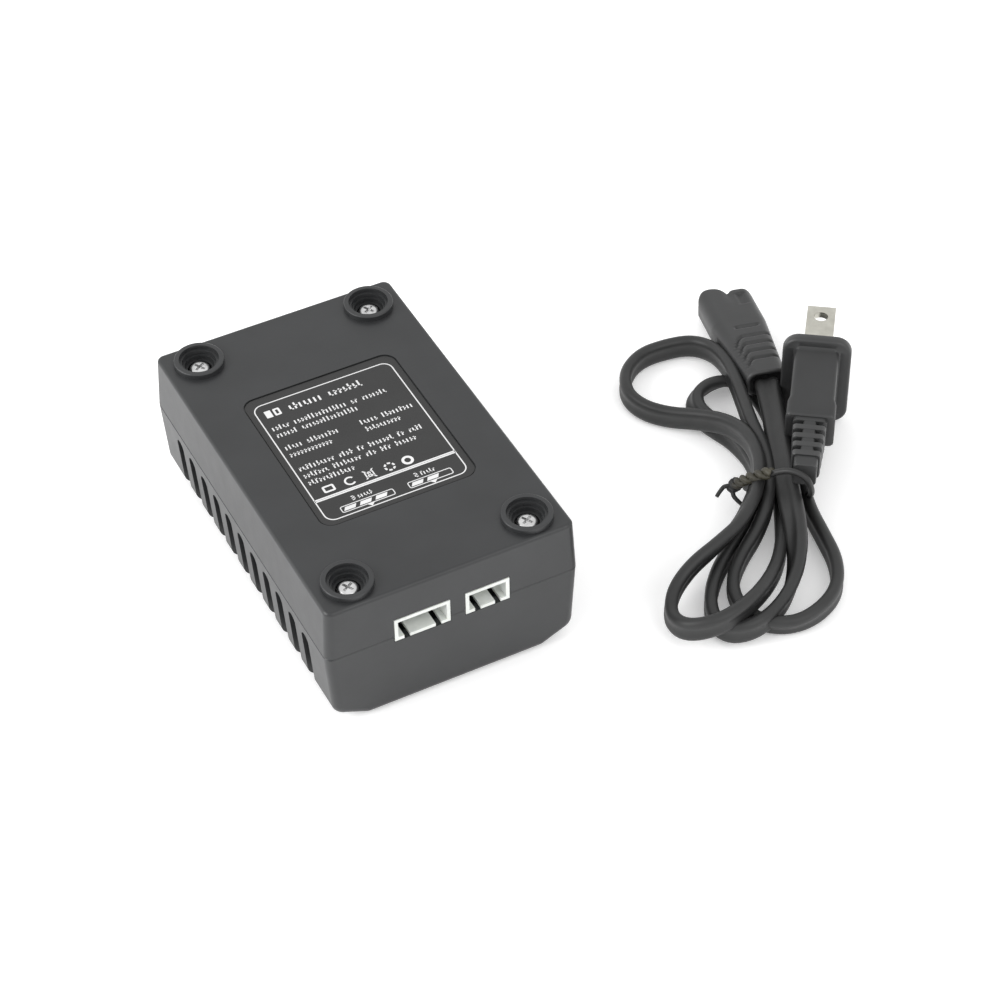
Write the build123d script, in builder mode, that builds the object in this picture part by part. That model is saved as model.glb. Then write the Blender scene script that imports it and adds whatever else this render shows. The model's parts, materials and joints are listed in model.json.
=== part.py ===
from build123d import *
import os
from math import cos, pi, sin

# Balance battery charger for small lithium packs, with its detachable two-core mains lead.
# The charger lies on its indicator side: the label and the four case screws face up (+Z),
# the two balance sockets face -Y and the mains inlet faces +Y. The lead lies beside it at +X.
# Origin: centre of the charger on the surface that it lies on. Millimetres throughout.

os.makedirs("parts", exist_ok=True)

# ---------------------------------------------------------------- driving dimensions
LENGTH = 87.8  # case along Y, at the parting line
WIDTH = 56.6  # case along X, at the parting line
PARTING_Z = 19.6  # the lower shell is this deep
TOP_Z = 32.2  # face that carries the label
TOP_LENGTH = 87.2
TOP_WIDTH = 55.2
LOWER_WIDTH = 54.5  # side walls lean in towards the floor
FLOOR_WIDTH = 40.0  # flat face that the charger lies on
CHAMFER_Z = 3.3  # height of the sloping strip along each long lower edge
WALL = 2.0
CORNER_R = 1.8  # vertical corners
SHOULDER_R = 3.0  # where each side wall turns in to the sloping strip
FLOOR_EDGE_R = 1.5
TOP_EDGE_R = 0.8
PARTING_CHAMFER = 0.25
BLEND = 0.5  # how far joined solids run into each other
FIT_GAP = 0.15  # clearance round sockets and inlet

LIP = 0.9  # tongue on the lower shell, inside a rebate in the upper one
LIP_HEIGHT = 1.3
LIP_ROOM = 0.1

SCREW_X, SCREW_Y = 20.0, 37.2
RING_R = 5.4
RING_HEIGHT = 1.3
WELL_STEPS = [(4.3, 32.6), (3.7, 31.6), (3.2, 30.6), (2.6, 29.4)]  # radius, floor height
COLUMN_R = 4.1
SHANK_R = 1.15
SHANK_LENGTH = 16.0
HEAD_R = 2.3
HEAD_HEIGHT = 1.8
HEAD_ROUND = 0.9
RECESS_LONG, RECESS_SHORT, RECESS_TURN, CROSS_DEPTH = 2.6, 0.6, 30, 1.1
SCREW_HOLE_R = 1.4
SCREW_POST_R = 3.5
PILOT_R = 1.2
PILOT_DEPTH = 13.0

VENT_COUNT = 11
VENT_PITCH = 6.45
VENT_WIDTH = 3.3
VENT_TOP = 17.0
VENT_DEPTH_X = 24.5  # side slots reach in to this X
VENT_FLOOR_X = 21.5  # and run this far in under the lower edge
VENT_FLOOR_Z = 4.5

LABEL_WIDTH, LABEL_LENGTH = 34.8, 42.0
LABEL_THICKNESS = 0.2
LABEL_GAP = 0.3
LABEL_CORNER_R = 2.7
FACE_LABEL_CORNER_R = 2.0
FACE_LABEL_THICKNESS = 0.25
RECESS_DEPTH = 0.4

BOARD_Z = 24.2  # component face, turned down
BOARD_THICKNESS = 1.6
BOARD_TOP = BOARD_Z + BOARD_THICKNESS
BOARD_WIDTH, BOARD_LENGTH = 50.0, 65.0
TONGUE_WIDTH, TONGUE_LENGTH = 30.4, 83.0
BOARD_POST_X, BOARD_POST_Y, BOARD_POST_R = 19.2, 28.0, 1.75
STANDOFF_R = 2.2

LED_SPOTS = [(-8.0, -26.0), (0.0, -26.0), (8.0, -26.0)]
WINDOW_R = 1.75
FACE_LABEL_LENGTH = 66.0

PIN_PITCH = 2.5
SOCKETS = {"3s": (-7.15, 4), "2s": (7.45, 3)}  # centre X and number of pins
SOCKET_Z, SOCKET_HEIGHT, SOCKET_DEPTH = 18.4, 5.8, 9.4
SOCKET_WALL = 0.8
SOCKET_BACK = 2.2
PIN_SIDE = 0.64
PIN_TIP_INSET = 2.5
PIN_LEG_Y = -31.5
PIN_TOP = BOARD_TOP + 1.0

INLET_Z = 19.0
INLET_WIDTH, INLET_HEIGHT, INLET_LENGTH = 18.0, 10.0, 17.8
INLET_DEPTH = 12.5
CONTACT_SPACING = 8.6
INLET_PIN_R = 1.18
INLET_PIN_INSET = 2.3
INLET_LEG_Y = 24.4

NOSE_HALF_WIDTH, NOSE_HALF_HEIGHT = 7.0, 3.3
MATING_GAP = 0.3

FRONT_Y = -LENGTH / 2
REAR_Y = LENGTH / 2
CENTRE_MIN = (Align.CENTER, Align.CENTER, Align.MIN)
CENTRE_MAX = (Align.CENTER, Align.CENTER, Align.MAX)
SCREW_SPOTS = [(x, y) for x in (-SCREW_X, SCREW_X) for y in (-SCREW_Y, SCREW_Y)]
POST_SPOTS = [(x, y) for x in (-BOARD_POST_X, BOARD_POST_X) for y in (-BOARD_POST_Y, BOARD_POST_Y)]


def socket_width(pins):
    return PIN_PITCH * (pins - 1) + 4.9


def pin_places(centre, pins):
    return [centre + PIN_PITCH * (i - (pins - 1) / 2) for i in range(pins)]


def write(builder, name):
    builder.part.label = name
    export_step(builder.part, f"parts/{name}.step")


# ---------------------------------------------------------------- lower shell, indicator side
with BuildPart() as led_side_shell:
    with BuildSketch(Plane.XZ.offset(LENGTH / 2)) as section:
        with BuildLine():
            Polyline(
                (-WIDTH / 2, PARTING_Z),
                (-LOWER_WIDTH / 2, CHAMFER_Z),
                (-FLOOR_WIDTH / 2, 0),
                (FLOOR_WIDTH / 2, 0),
                (LOWER_WIDTH / 2, CHAMFER_Z),
                (WIDTH / 2, PARTING_Z),
                close=True,
            )
        make_face()
        fillet(section.vertices().filter_by_position(Axis.Y, 1, 5), radius=SHOULDER_R)
        fillet(section.vertices().filter_by_position(Axis.Y, -1, 0.1), radius=FLOOR_EDGE_R)
    extrude(amount=-LENGTH)
    ends = led_side_shell.faces().filter_by(Axis.Y)
    rims = [e for face in ends for e in face.edges() if e.center().Z < PARTING_Z - 0.1]
    fillet(rims, radius=CORNER_R)
    parting = led_side_shell.faces().sort_by(Axis.Z)[-1]
    chamfer(parting.edges(), length=PARTING_CHAMFER)
    # Hollow, kept one wall in from the outside.
    with BuildSketch(Plane.XZ.offset(LENGTH / 2 - WALL)):
        with BuildLine():
            Polyline(
                (-WIDTH / 2 + WALL, PARTING_Z + 1),
                (-LOWER_WIDTH / 2 + WALL, CHAMFER_Z + 1.2),
                (-FLOOR_WIDTH / 2 + 0.5, WALL),
                (FLOOR_WIDTH / 2 - 0.5, WALL),
                (LOWER_WIDTH / 2 - WALL, CHAMFER_Z + 1.2),
                (WIDTH / 2 - WALL, PARTING_Z + 1),
                close=True,
            )
        make_face()
    extrude(amount=-(LENGTH - 2 * WALL), mode=Mode.SUBTRACT)
    # Cooling slots, down each side wall and in under the lower edge.
    slot_round = VENT_WIDTH / 2
    slot_spots = [(VENT_PITCH * (i - (VENT_COUNT - 1) / 2), 0) for i in range(VENT_COUNT)]
    with BuildSketch(Plane.YZ.offset(VENT_DEPTH_X)):
        with Locations(*slot_spots):
            with Locations((0, -1)):
                Rectangle(VENT_WIDTH, VENT_TOP - slot_round + 1, align=(Align.CENTER, Align.MIN))
            with Locations((0, VENT_TOP - slot_round)):
                Circle(slot_round)
    side_slots = extrude(amount=WIDTH / 2, mode=Mode.SUBTRACT)
    mirror(side_slots, about=Plane.YZ, mode=Mode.SUBTRACT)
    with BuildSketch(Plane.XY.offset(-1)):
        for side in (-1, 1):
            with Locations(*[(side * (VENT_FLOOR_X + slot_round), y) for y, _ in slot_spots]):
                Circle(slot_round)
                with Locations((side * WIDTH / 4, 0)):
                    Rectangle(WIDTH / 2, VENT_WIDTH)
    extrude(amount=VENT_FLOOR_Z + 1, mode=Mode.SUBTRACT)
    # Lip that registers the two shells.
    lip_out = WIDTH - 2 * (WALL - LIP)
    lip_long = LENGTH - 2 * (WALL - LIP)
    with BuildSketch(Plane.XY.offset(PARTING_Z)):
        RectangleRounded(lip_out, lip_long, 1.0)
        RectangleRounded(lip_out - 2 * LIP, lip_long - 2 * LIP, 0.4, mode=Mode.SUBTRACT)
    extrude(amount=LIP_HEIGHT)
    # Screw posts and the posts that the board rests on.
    with BuildSketch(Plane.XY.offset(WALL - BLEND)):
        with Locations(*SCREW_SPOTS):
            Circle(SCREW_POST_R)
    extrude(amount=PARTING_Z - 0.1 - WALL + BLEND)
    with BuildSketch(Plane.XY.offset(WALL - BLEND)):
        with Locations(*POST_SPOTS):
            Circle(BOARD_POST_R)
    extrude(amount=BOARD_Z - WALL + BLEND)
    with BuildSketch(Plane.XY.offset(PARTING_Z)):
        with Locations(*SCREW_SPOTS):
            Circle(PILOT_R)
    extrude(amount=-PILOT_DEPTH, mode=Mode.SUBTRACT)
    # Openings for the balance sockets and the mains inlet.
    for centre, pins in SOCKETS.values():
        with Locations((centre, FRONT_Y, SOCKET_Z - FIT_GAP)):
            Box(socket_width(pins) + 2 * FIT_GAP, 3 * WALL, 10, align=CENTRE_MIN, mode=Mode.SUBTRACT)
    with Locations((0, REAR_Y, INLET_Z - INLET_HEIGHT / 2 - FIT_GAP)):
        Box(INLET_WIDTH + 2 * FIT_GAP, 3 * WALL, 20, align=CENTRE_MIN, mode=Mode.SUBTRACT)
    # Indicator windows and the shallow seat of the face label.
    with BuildSketch(Plane.XY):
        with Locations(*LED_SPOTS):
            Circle(WINDOW_R)
    extrude(amount=WALL + BLEND, mode=Mode.SUBTRACT)
    with BuildSketch(Plane.XY):
        seat_r = FACE_LABEL_CORNER_R + LABEL_GAP
        RectangleRounded(LABEL_WIDTH + 2 * LABEL_GAP, FACE_LABEL_LENGTH + 2 * LABEL_GAP, seat_r)
    extrude(amount=LABEL_GAP, mode=Mode.SUBTRACT)
write(led_side_shell, "led_side_shell")

# ---------------------------------------------------------------- upper shell, label side
with BuildPart() as label_side_shell:
    with BuildSketch(Plane.XY.offset(PARTING_Z)):
        RectangleRounded(WIDTH - 2 * PARTING_CHAMFER, LENGTH - 2 * PARTING_CHAMFER, CORNER_R)
    with BuildSketch(Plane.XY.offset(PARTING_Z + PARTING_CHAMFER)):
        RectangleRounded(WIDTH, LENGTH, CORNER_R)
    loft(ruled=True)
    with BuildSketch(Plane.XY.offset(PARTING_Z + PARTING_CHAMFER)):
        RectangleRounded(WIDTH, LENGTH, CORNER_R)
    with BuildSketch(Plane.XY.offset(TOP_Z)):
        RectangleRounded(TOP_WIDTH, TOP_LENGTH, CORNER_R)
    loft(ruled=True)
    fillet(label_side_shell.faces().sort_by(Axis.Z)[-1].edges(), radius=TOP_EDGE_R)
    with BuildSketch(Plane.XY.offset(PARTING_Z - 0.5)):
        RectangleRounded(WIDTH - 2 * WALL, LENGTH - 2 * WALL, 0.5)
    with BuildSketch(Plane.XY.offset(TOP_Z - WALL)):
        RectangleRounded(TOP_WIDTH - 2 * WALL, TOP_LENGTH - 2 * WALL, 0.5)
    loft(ruled=True, mode=Mode.SUBTRACT)
    with BuildSketch(Plane.XY.offset(PARTING_Z - 0.5)):
        RectangleRounded(lip_out + 2 * LIP_ROOM, lip_long + 2 * LIP_ROOM, 1.0 + LIP_ROOM)
    extrude(amount=LIP_HEIGHT + 2 * LIP_ROOM + 0.5, mode=Mode.SUBTRACT)
    # Raised rings outside, columns inside, and a stepped well down to each screw's seat.
    with BuildSketch(Plane.XY.offset(TOP_Z - 0.5)):
        with Locations(*SCREW_SPOTS):
            Circle(RING_R)
    extrude(amount=RING_HEIGHT + 0.5)
    ring_tops = label_side_shell.faces().filter_by_position(Axis.Z, TOP_Z + 1, TOP_Z + 2)
    fillet([e for face in ring_tops for e in face.edges()], radius=0.3)
    with BuildSketch(Plane.XY.offset(PARTING_Z + 0.05)):
        with Locations(*SCREW_SPOTS):
            Circle(COLUMN_R)
    extrude(amount=TOP_Z - WALL - PARTING_Z + 0.2)
    for radius, floor in WELL_STEPS:
        with BuildSketch(Plane.XY.offset(floor)):
            with Locations(*SCREW_SPOTS):
                Circle(radius)
        extrude(amount=TOP_Z + 3 - floor, mode=Mode.SUBTRACT)
    with BuildSketch(Plane.XY.offset(PARTING_Z - 1)):
        with Locations(*SCREW_SPOTS):
            Circle(SCREW_HOLE_R)
    extrude(amount=TOP_Z - PARTING_Z, mode=Mode.SUBTRACT)
    # Stand-offs that press the board down on its posts.
    with BuildSketch(Plane.XY.offset(BOARD_TOP)):
        with Locations(*POST_SPOTS):
            Circle(STANDOFF_R)
    extrude(amount=TOP_Z - WALL - BOARD_TOP + 0.2)
    # Seat of the label.
    with BuildSketch(Plane.XY.offset(TOP_Z - RECESS_DEPTH)):
        seat_r = LABEL_CORNER_R + LABEL_GAP
        RectangleRounded(LABEL_WIDTH + 2 * LABEL_GAP, LABEL_LENGTH + 2 * LABEL_GAP, seat_r)
    extrude(amount=1, mode=Mode.SUBTRACT)
    for centre, pins in SOCKETS.values():
        with Locations((centre, FRONT_Y, SOCKET_Z + SOCKET_HEIGHT + FIT_GAP)):
            Box(socket_width(pins) + 2 * FIT_GAP, 3 * WALL, 10, align=CENTRE_MAX, mode=Mode.SUBTRACT)
    with Locations((0, REAR_Y, INLET_Z + INLET_HEIGHT / 2 + FIT_GAP)):
        Box(INLET_WIDTH + 2 * FIT_GAP, 3 * WALL, 20, align=CENTRE_MAX, mode=Mode.SUBTRACT)
write(label_side_shell, "label_side_shell")

# ---------------------------------------------------------------- labels
with BuildPart() as label_plate:
    with BuildSketch(Plane.XY.offset(TOP_Z - RECESS_DEPTH)):
        RectangleRounded(LABEL_WIDTH, LABEL_LENGTH, LABEL_CORNER_R)
    extrude(amount=LABEL_THICKNESS)
write(label_plate, "label_plate")

with BuildPart() as face_label:
    with BuildSketch(Plane.XY.offset(LABEL_GAP - FACE_LABEL_THICKNESS)):
        RectangleRounded(LABEL_WIDTH, FACE_LABEL_LENGTH, FACE_LABEL_CORNER_R)
        with Locations(*LED_SPOTS):
            Circle(WINDOW_R, mode=Mode.SUBTRACT)
    extrude(amount=FACE_LABEL_THICKNESS)
write(face_label, "face_label")

# ---------------------------------------------------------------- case screws, pan head, cross recess
seat_z = WELL_STEPS[-1][1]
with BuildPart() as case_screws:
    with BuildSketch(Plane.XY.offset(seat_z)):
        with Locations(*SCREW_SPOTS):
            Circle(HEAD_R)
    extrude(amount=HEAD_HEIGHT)
    head_tops = case_screws.faces().sort_by(Axis.Z)[-4:]
    fillet([e for face in head_tops for e in face.edges()], radius=HEAD_ROUND)
    with BuildSketch(Plane.XY.offset(seat_z)):
        with Locations(*SCREW_SPOTS):
            Circle(SHANK_R)
    extrude(amount=-SHANK_LENGTH)
    tips = case_screws.faces().sort_by(Axis.Z)[:4]
    chamfer([e for face in tips for e in face.edges()], length=1.6, length2=0.8)
    with BuildSketch(Plane.XY.offset(seat_z + HEAD_HEIGHT)):
        with Locations(*SCREW_SPOTS):
            Rectangle(RECESS_LONG, RECESS_SHORT, rotation=RECESS_TURN)
            Rectangle(RECESS_SHORT, RECESS_LONG, rotation=RECESS_TURN)
    extrude(amount=-CROSS_DEPTH, mode=Mode.SUBTRACT)
write(case_screws, "case_screws")

# ---------------------------------------------------------------- balance sockets and their pins
for name, (centre, pins) in SOCKETS.items():
    wide = socket_width(pins)
    middle_z = SOCKET_Z + SOCKET_HEIGHT / 2
    with BuildPart() as balance_socket:
        with BuildSketch(Plane.XZ.offset(-FRONT_Y)):
            with Locations((centre, middle_z)):
                Rectangle(wide, SOCKET_HEIGHT)
        extrude(amount=-SOCKET_DEPTH)
        with BuildSketch(Plane.XZ.offset(-FRONT_Y)):
            with Locations((centre, middle_z)):
                Rectangle(wide - 2 * SOCKET_WALL, SOCKET_HEIGHT - 2 * SOCKET_WALL)
        extrude(amount=-(SOCKET_DEPTH - SOCKET_BACK), mode=Mode.SUBTRACT)
        # Two keyways through the wall that faces down.
        for side in (-1, 1):
            with Locations((centre + side * (wide / 2 - 2.7), FRONT_Y, SOCKET_Z)):
                Box(1.3, 2 * (SOCKET_DEPTH - SOCKET_BACK), 2.2 * SOCKET_WALL, mode=Mode.SUBTRACT)
        for x in pin_places(centre, pins):
            with Locations((x, FRONT_Y + SOCKET_DEPTH, middle_z)):
                Box(0.8, 3 * SOCKET_BACK, 0.8, mode=Mode.SUBTRACT)
    write(balance_socket, f"balance_socket_{name}")
    with BuildPart() as socket_pins:
        for x in pin_places(centre, pins):
            tip_y = FRONT_Y + PIN_TIP_INSET
            with Locations((x, (tip_y + PIN_LEG_Y) / 2, middle_z)):
                Box(PIN_SIDE, PIN_LEG_Y - tip_y, PIN_SIDE)
            with Locations((x, PIN_LEG_Y - PIN_SIDE / 2, middle_z - PIN_SIDE / 2)):
                Box(PIN_SIDE, PIN_SIDE, PIN_TOP - middle_z + PIN_SIDE / 2, align=CENTRE_MIN)
    write(socket_pins, f"socket_pins_{name}")


# ---------------------------------------------------------------- mains inlet and its pins
def figure_eight(half_width, half_height):
    """Two round lobes joined by a slightly thinner middle, in the current sketch."""
    spread = half_width - half_height
    with Locations((-spread, 0), (spread, 0)):
        Circle(half_height)
    Rectangle(2 * spread, 2 * (half_height - 0.7))


with BuildPart() as ac_inlet:
    inlet_face = Plane(origin=(0, REAR_Y - 0.05, INLET_Z), x_dir=(-1, 0, 0), z_dir=(0, 1, 0))
    with BuildSketch(inlet_face):
        RectangleRounded(INLET_WIDTH, INLET_HEIGHT, 1.0)
    extrude(amount=-INLET_LENGTH)
    with BuildSketch(inlet_face):
        figure_eight(NOSE_HALF_WIDTH + MATING_GAP, NOSE_HALF_HEIGHT + MATING_GAP)
    extrude(amount=-INLET_DEPTH, mode=Mode.SUBTRACT)
    with BuildSketch(inlet_face):
        with Locations((-CONTACT_SPACING / 2, 0), (CONTACT_SPACING / 2, 0)):
            Circle(INLET_PIN_R + 0.1)
    extrude(amount=-INLET_LENGTH - 1, mode=Mode.SUBTRACT)
write(ac_inlet, "ac_inlet")

with BuildPart() as ac_inlet_pins:
    with BuildSketch(inlet_face.offset(-INLET_PIN_INSET)):
        with Locations((-CONTACT_SPACING / 2, 0), (CONTACT_SPACING / 2, 0)):
            Circle(INLET_PIN_R)
    extrude(amount=-(REAR_Y - 0.05 - INLET_PIN_INSET - INLET_LEG_Y))
    pin_tips = ac_inlet_pins.faces().sort_by(Axis.Y)[-2:]
    fillet([e for face in pin_tips for e in face.edges()], radius=0.9)
    with Locations(*[(x, INLET_LEG_Y, INLET_Z) for x in (-CONTACT_SPACING / 2, CONTACT_SPACING / 2)]):
        Box(1.6, 0.8, PIN_TOP - INLET_Z, align=CENTRE_MIN)
write(ac_inlet_pins, "ac_inlet_pins")

# ---------------------------------------------------------------- circuit board
with BuildPart() as circuit_board:
    with BuildSketch(Plane.XY.offset(BOARD_Z)):
        Rectangle(BOARD_WIDTH, BOARD_LENGTH)
        Rectangle(TONGUE_WIDTH, TONGUE_LENGTH)
        for centre, pins in SOCKETS.values():
            with Locations(*[(x, PIN_LEG_Y - PIN_SIDE / 2) for x in pin_places(centre, pins)]):
                Circle(0.55, mode=Mode.SUBTRACT)
        with Locations((-CONTACT_SPACING / 2, INLET_LEG_Y), (CONTACT_SPACING / 2, INLET_LEG_Y)):
            Rectangle(1.8, 1.0, mode=Mode.SUBTRACT)
        for x, y in LED_SPOTS:
            with Locations((x - 1.27, y), (x + 1.27, y)):
                Circle(0.4, mode=Mode.SUBTRACT)
    extrude(amount=BOARD_THICKNESS)
write(circuit_board, "circuit_board")

# ---------------------------------------------------------------- transformer
TR_X, TR_Y, TR_BASE = -7.0, 3.0, 6.5
CORE_WIDTH, CORE_DEPTH, CORE_HEIGHT = 19.0, 6.0, 15.6
LEG = 4.8
WINDOW_HEIGHT = 10.6
window_base = TR_BASE + (CORE_HEIGHT - WINDOW_HEIGHT) / 2
with BuildPart() as transformer_core:
    with Locations((TR_X, TR_Y, TR_BASE)):
        Box(CORE_WIDTH, CORE_DEPTH, CORE_HEIGHT, align=CENTRE_MIN)
    with Locations((TR_X, TR_Y, window_base)):
        Box(CORE_WIDTH - LEG, CORE_DEPTH, WINDOW_HEIGHT, align=CENTRE_MIN, mode=Mode.SUBTRACT)
        Box(LEG, CORE_DEPTH, WINDOW_HEIGHT, align=CENTRE_MIN)
write(transformer_core, "transformer_core")

with BuildPart() as transformer_bobbin:
    with Locations((TR_X, TR_Y, window_base + 0.1), (TR_X, TR_Y, window_base + WINDOW_HEIGHT - 0.9)):
        Box(13.8, 13.0, 0.8, align=CENTRE_MIN)
    with Locations((TR_X, TR_Y, window_base + 0.1)):
        Box(LEG + 1.6, CORE_DEPTH + 1.6, WINDOW_HEIGHT - 0.2, align=CENTRE_MIN)
    for side in (-1, 1):
        rail_z = window_base + WINDOW_HEIGHT - 0.9
        with Locations((TR_X, TR_Y + side * 5.0, rail_z)):
            Box(13.8, 3.0, BOARD_Z - rail_z, align=CENTRE_MIN)
    with Locations((TR_X, TR_Y, window_base)):
        Box(LEG + 0.2, CORE_DEPTH + 0.2, WINDOW_HEIGHT, align=CENTRE_MIN, mode=Mode.SUBTRACT)
write(transformer_bobbin, "transformer_bobbin")

with BuildPart() as transformer_winding:
    with Locations((TR_X, TR_Y, window_base + 1.0)):
        Box(13.2, 12.4, WINDOW_HEIGHT - 2.0, align=CENTRE_MIN)
    fillet(transformer_winding.edges().filter_by(Axis.Z), radius=2.2)
    with Locations((TR_X, TR_Y, window_base)):
        Box(LEG + 1.8, CORE_DEPTH + 1.8, WINDOW_HEIGHT, align=CENTRE_MIN, mode=Mode.SUBTRACT)
write(transformer_winding, "transformer_winding")


# ---------------------------------------------------------------- parts that hang under the board
def hanging_can(x, y, radius, height):
    """Upright round part whose base is on the board, with a rounded lower rim."""
    with BuildPart() as can:
        with BuildSketch(Plane.XY.offset(BOARD_Z)):
            with Locations((x, y)):
                Circle(radius)
        extrude(amount=-height)
        fillet(can.faces().sort_by(Axis.Z)[0].edges(), radius=0.6)
    return can


def hanging_block(x, y, wide, deep, height):
    """Box-shaped part under the board with softened lower edges."""
    with BuildPart() as block:
        with Locations((x, y, BOARD_Z)):
            Box(wide, deep, height, align=CENTRE_MAX)
        chamfer(block.faces().sort_by(Axis.Z)[0].edges(), length=0.3)
    return block


# centre X, centre Y, radius, height
CANS = {
    "bulk_capacitor": (14.0, 15.0, 6.0, 18.0),
    "fuse": (-13.8, 27.2, 3.4, 8.0),
    "filter_choke": (13.8, 27.2, 3.4, 9.5),
}
# centre X, centre Y, width, depth, height
BLOCKS = {
    "interference_capacitor": (-14.0, 19.3, 13.0, 6.0, 11.0),
    "bridge_rectifier": (0.0, 17.0, 8.3, 6.4, 2.6),
    "controller_chip": (12.0, 2.0, 9.4, 6.4, 3.4),
    "optocoupler": (-20.7, -3.0, 4.6, 6.4, 3.4),
    "safety_capacitor": (-20.7, 9.0, 3.6, 8.0, 8.0),
}
# One row of three for the charging channels, one channel for each cell.
CAPACITOR_XS, DIODE_XS = (-16.0, 0.0, 16.0), (-9.0, 7.0, 22.0)
CAPACITOR_Y, CHARGE_CHIP_Y = -12.5, -20.3
for i, x in enumerate(CAPACITOR_XS, start=1):
    CANS[f"output_capacitor_{i}"] = (x, CAPACITOR_Y, 3.15, 11.0)
    BLOCKS[f"charge_chip_{i}"] = (x, CHARGE_CHIP_Y, 5.0, 4.0, 1.6)
for i, x in enumerate(DIODE_XS, start=1):
    BLOCKS[f"output_diode_{i}"] = (x, CAPACITOR_Y, 2.7, 5.2, 2.7)
for name, sizes in CANS.items():
    write(hanging_can(*sizes), name)
for name, sizes in BLOCKS.items():
    write(hanging_block(*sizes), name)

RESISTOR_SPOTS = [(22.4, -3.0), (22.4, 6.0), (-22.8, -14.0), (8.0, -5.0)]
RESISTOR_WIDTH, RESISTOR_LENGTH = 2.3, 6.3
with BuildPart() as board_resistors:
    with BuildSketch(Plane.XY.offset(BOARD_Z)):
        with Locations(*RESISTOR_SPOTS):
            Rectangle(RESISTOR_WIDTH, RESISTOR_LENGTH)
    extrude(amount=-RESISTOR_WIDTH)
write(board_resistors, "board_resistors")

# ---------------------------------------------------------------- one indicator for each cell
LED_TIP_Z = 0.5
LED_BODY = 5.2
LED_R, LED_RIM_R, LED_RIM = 1.5, 1.9, 1.0
LED_ROUND = 1.2
LEG_SPACING, LEG_SIDE = 2.54, 0.5
for i, (x, y) in enumerate(LED_SPOTS, start=1):
    with BuildPart() as cell_led:
        with BuildSketch(Plane.XY.offset(LED_TIP_Z)):
            with Locations((x, y)):
                Circle(LED_R)
        extrude(amount=LED_BODY)
        fillet(cell_led.faces().sort_by(Axis.Z)[0].edges(), radius=LED_ROUND)
        with BuildSketch(Plane.XY.offset(LED_TIP_Z + LED_BODY - LED_RIM)):
            with Locations((x, y)):
                Circle(LED_RIM_R)
        extrude(amount=LED_RIM)
        with BuildSketch(Plane.XY.offset(LED_TIP_Z + LED_BODY)):
            with Locations((x - LEG_SPACING / 2, y), (x + LEG_SPACING / 2, y)):
                Rectangle(LEG_SIDE, LEG_SIDE)
        extrude(amount=PIN_TOP - LED_TIP_Z - LED_BODY)
    write(cell_led, f"cell_led_{i}")


# ---------------------------------------------------------------- mains lead: connector
def lying_plane(tip, yaw, pitch):
    """Plane on a connector's front face: X to its right, Y up, Z back along it to the cable."""
    back = (-cos(yaw) * cos(pitch), -sin(yaw) * cos(pitch), sin(pitch))
    return Plane(origin=tip, x_dir=(sin(yaw), -cos(yaw), 0), z_dir=back)


CONNECTOR = lying_plane((107.0, 31.5, 3.7), 76 * pi / 180, 7 * pi / 180)
CONNECTOR_LENGTH = 35.4
NOSE_LENGTH = 16.0
with BuildPart() as lead_connector:
    with BuildSketch(CONNECTOR):
        figure_eight(NOSE_HALF_WIDTH - 0.6, NOSE_HALF_HEIGHT - 0.3)
    with BuildSketch(CONNECTOR.offset(2.0)):
        figure_eight(NOSE_HALF_WIDTH - 0.3, NOSE_HALF_HEIGHT)
    loft(ruled=True)
    with BuildSketch(CONNECTOR.offset(2.0)):
        RectangleRounded(2 * NOSE_HALF_WIDTH - 0.6, 2 * NOSE_HALF_HEIGHT, 2.6)
    with BuildSketch(CONNECTOR.offset(NOSE_LENGTH)):
        RectangleRounded(12.8, 6.6, 2.0)
    loft(ruled=True)
    with BuildSketch(CONNECTOR.offset(NOSE_LENGTH)):
        RectangleRounded(12.8, 6.6, 2.0)
    with BuildSketch(CONNECTOR.offset(CONNECTOR_LENGTH)):
        RectangleRounded(9.6, 6.4, 1.6)
    loft(ruled=True)
    with BuildSketch(CONNECTOR.offset(-0.5)):
        with Locations((-CONTACT_SPACING / 2, 0), (CONTACT_SPACING / 2, 0)):
            Circle(1.3)
    extrude(amount=3.0, mode=Mode.SUBTRACT)
    with BuildSketch(CONNECTOR.offset(1.8)):
        with Locations((-CONTACT_SPACING / 2, 0), (CONTACT_SPACING / 2, 0)):
            Circle(1.6)
    extrude(amount=12.2, mode=Mode.SUBTRACT)
write(lead_connector, "lead_connector")

with BuildPart() as connector_contacts:
    with BuildSketch(CONNECTOR.offset(2.0)):
        with Locations((-CONTACT_SPACING / 2, 0), (CONTACT_SPACING / 2, 0)):
            Circle(1.5)
            Circle(1.2, mode=Mode.SUBTRACT)
    extrude(amount=11.8)
write(connector_contacts, "connector_contacts")

# ---------------------------------------------------------------- mains lead: flat two-blade plug
FLANGE_WIDTH, FLANGE_HEIGHT, FLANGE_DEPTH = 15.2, 22.4, 2.6
PLUG = lying_plane((107.5, -8.4, FLANGE_HEIGHT / 2 + 0.03), 54.2 * pi / 180, 3.4 * pi / 180)
GRIP_LENGTH = 17.4
RELIEF_LENGTH = 12.2
SLEEVE_LENGTH = 5.0
BLADE_SPACING, BLADE_WIDTH, BLADE_THICKNESS, BLADE_LENGTH = 12.7, 6.35, 1.5, 16.0
BLADE_HOLE_R, BLADE_HOLE_OUT = 1.6, 11.9
BLADE_ROOT = 7.8  # moulded into the plug
RELIEF_SLOTS, FIRST_SLOT, SLOT_PITCH, SLOT_LENGTH = 4, 1.6, 2.9, 1.2
grip_end = FLANGE_DEPTH + GRIP_LENGTH
relief_end = grip_end + RELIEF_LENGTH
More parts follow.
